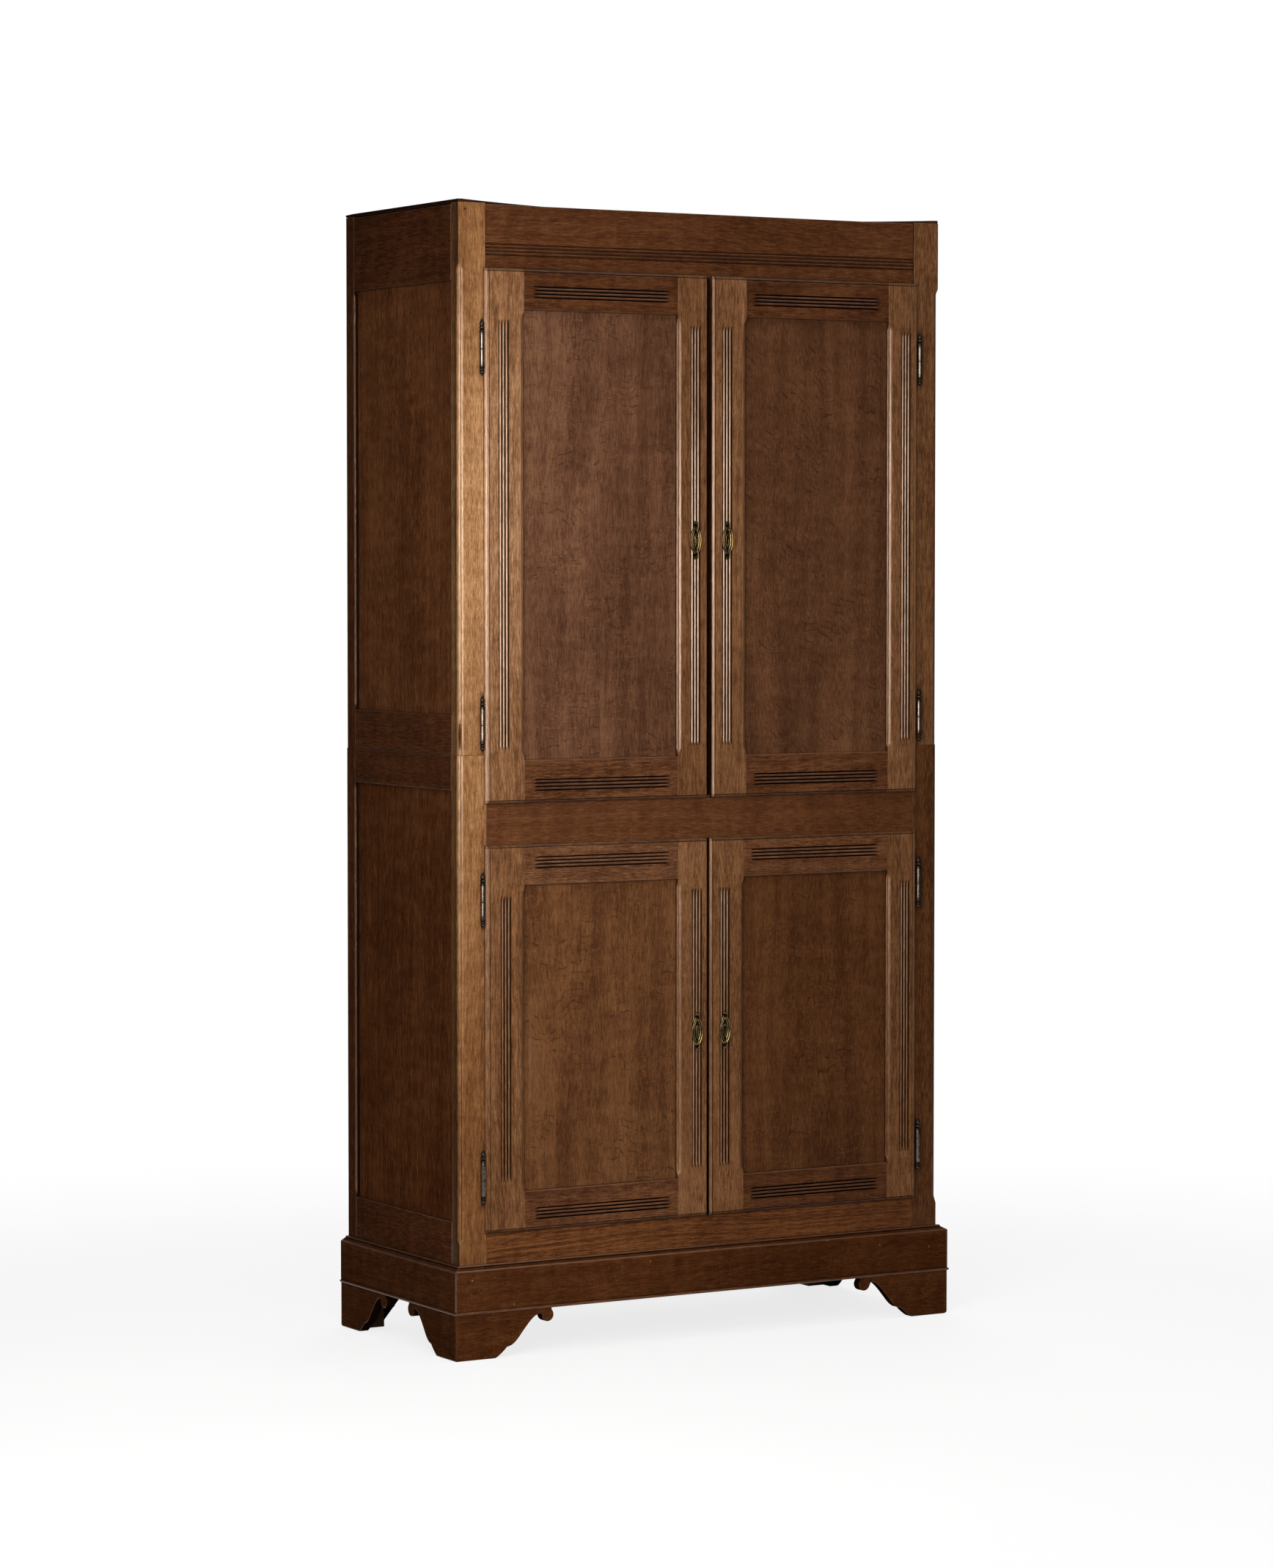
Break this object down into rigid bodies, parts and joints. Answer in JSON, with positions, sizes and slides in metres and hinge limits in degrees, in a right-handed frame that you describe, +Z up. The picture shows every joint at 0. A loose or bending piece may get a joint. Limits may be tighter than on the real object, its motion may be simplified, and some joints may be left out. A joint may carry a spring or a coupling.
{
  "type": "linen press",
  "caption": "Tall two-stage oak linen press: panelled doors over panelled doors, fixed shelves, moulded plinth and shaped bracket feet.",
  "frame": {"origin": "on the floor, under the middle of the press's bounding box", "axes": "+X to the right along the front, +Y from the front to the back, +Z up; the doors face -Y"},
  "size_m": [1.0312, 0.4436, 2.0055],
  "materials": {
    "case_oak": "dark stained oak, waxed, worn to golden brown on the lit corners",
    "panel_oak": "quarter-sawn oak stained purple brown, satin wax",
    "door_oak": "dark stained oak, satin wax",
    "plinth_oak": "dark stained oak, scuffed",
    "inside_oak": "plain unpolished oak",
    "hinge_steel": "worn steel with dark oxide in the turnings",
    "plate_brass": "aged brass, dull",
    "lock_iron": "dark iron"
  },
  "bodies": {
    "case": {"upper_left_front_post": "case_oak", "upper_right_front_post": "case_oak", "lower_left_front_post": "case_oak", "lower_right_front_post": "case_oak", "upper_rear_posts": "inside_oak", "lower_rear_posts": "inside_oak", "frieze_rail": "case_oak", "upper_sill_rail": "case_oak", "stop_rail": "case_oak", "middle_rail": "case_oak", "bottom_rail": "case_oak", "upper_side_rails": "case_oak", "lower_side_rails": "case_oak", "upper_side_panels": "panel_oak", "lower_side_panels": "panel_oak", "upper_back_boards": "inside_oak", "lower_back_boards": "inside_oak", "locating_dowels": "inside_oak", "top_board": "case_oak", "upper_ceiling": "inside_oak", "upper_floor": "inside_oak", "lower_top": "inside_oak", "lower_floor": "inside_oak", "upper_shelves": "inside_oak", "lower_shelf": "inside_oak", "shelf_cleats": "inside_oak", "plinth_front_board": "plinth_oak", "plinth_side_boards": "plinth_oak", "front_bracket_feet": "plinth_oak", "rear_bracket_feet": "plinth_oak", "foot_glue_blocks": "inside_oak", "case_hinge_halves": "hinge_steel"},
    "upper_left_door": {"upper_left_door_stiles": "door_oak", "upper_left_door_rails": "door_oak", "upper_left_door_panel": "panel_oak", "upper_left_door_lock_plate": "plate_brass", "upper_left_door_hinge_halves": "hinge_steel"},
    "upper_right_door": {"upper_right_door_stiles": "door_oak", "upper_right_door_rails": "door_oak", "upper_right_door_panel": "panel_oak", "upper_right_door_lock_plate": "plate_brass", "upper_right_door_hinge_halves": "hinge_steel", "upper_right_door_lock_case": "lock_iron"},
    "lower_left_door": {"lower_left_door_stiles": "door_oak", "lower_left_door_rails": "door_oak", "lower_left_door_panel": "panel_oak", "lower_left_door_lock_plate": "plate_brass", "lower_left_door_hinge_halves": "hinge_steel"},
    "lower_right_door": {"lower_right_door_stiles": "door_oak", "lower_right_door_rails": "door_oak", "lower_right_door_panel": "panel_oak", "lower_right_door_lock_plate": "plate_brass", "lower_right_door_hinge_halves": "hinge_steel", "lower_right_door_lock_case": "lock_iron"},
    "upper_right_door_lock_bolt": {"upper_right_door_lock_bolt": "lock_iron"},
    "lower_right_door_lock_bolt": {"lower_right_door_lock_bolt": "lock_iron"},
    "upper_left_door_top_bolt": {"upper_left_door_top_bolt": "lock_iron"},
    "upper_left_door_bottom_bolt": {"upper_left_door_bottom_bolt": "lock_iron"},
    "lower_left_door_top_bolt": {"lower_left_door_top_bolt": "lock_iron"},
    "lower_left_door_bottom_bolt": {"lower_left_door_bottom_bolt": "lock_iron"}
  },
  "joints": [
    {"name": "upper_left_door_swing", "type": "hinge", "parent": "case", "child": "upper_left_door", "pos_m": [-0.4538, -0.2092, 1.42685], "axis": [0, 0, -1], "range_deg": [0, 170]},
    {"name": "upper_right_door_swing", "type": "hinge", "parent": "case", "child": "upper_right_door", "pos_m": [0.4538, -0.2092, 1.42685], "axis": [0, 0, 1], "range_deg": [0, 170]},
    {"name": "lower_left_door_swing", "type": "hinge", "parent": "case", "child": "lower_left_door", "pos_m": [-0.4538, -0.2092, 0.55495], "axis": [0, 0, -1], "range_deg": [0, 170]},
    {"name": "lower_right_door_swing", "type": "hinge", "parent": "case", "child": "lower_right_door", "pos_m": [0.4538, -0.2092, 0.55495], "axis": [0, 0, 1], "range_deg": [0, 170]},
    {"name": "upper_right_door_lock_slide", "type": "slide", "parent": "upper_right_door", "child": "upper_right_door_lock_bolt", "axis": [-1, 0, 0], "range_m": [0, 0.017]},
    {"name": "lower_right_door_lock_slide", "type": "slide", "parent": "lower_right_door", "child": "lower_right_door_lock_bolt", "axis": [-1, 0, 0], "range_m": [0, 0.012]},
    {"name": "upper_left_door_top_bolt_slide", "type": "slide", "parent": "upper_left_door", "child": "upper_left_door_top_bolt", "axis": [0, 0, 1], "range_m": [0, 0.01]},
    {"name": "upper_left_door_bottom_bolt_slide", "type": "slide", "parent": "upper_left_door", "child": "upper_left_door_bottom_bolt", "axis": [0, 0, -1], "range_m": [0, 0.01]},
    {"name": "lower_left_door_top_bolt_slide", "type": "slide", "parent": "lower_left_door", "child": "lower_left_door_top_bolt", "axis": [0, 0, 1], "range_m": [0, 0.01]},
    {"name": "lower_left_door_bottom_bolt_slide", "type": "slide", "parent": "lower_left_door", "child": "lower_left_door_bottom_bolt", "axis": [0, 0, -1], "range_m": [0, 0.01]}
  ]
}
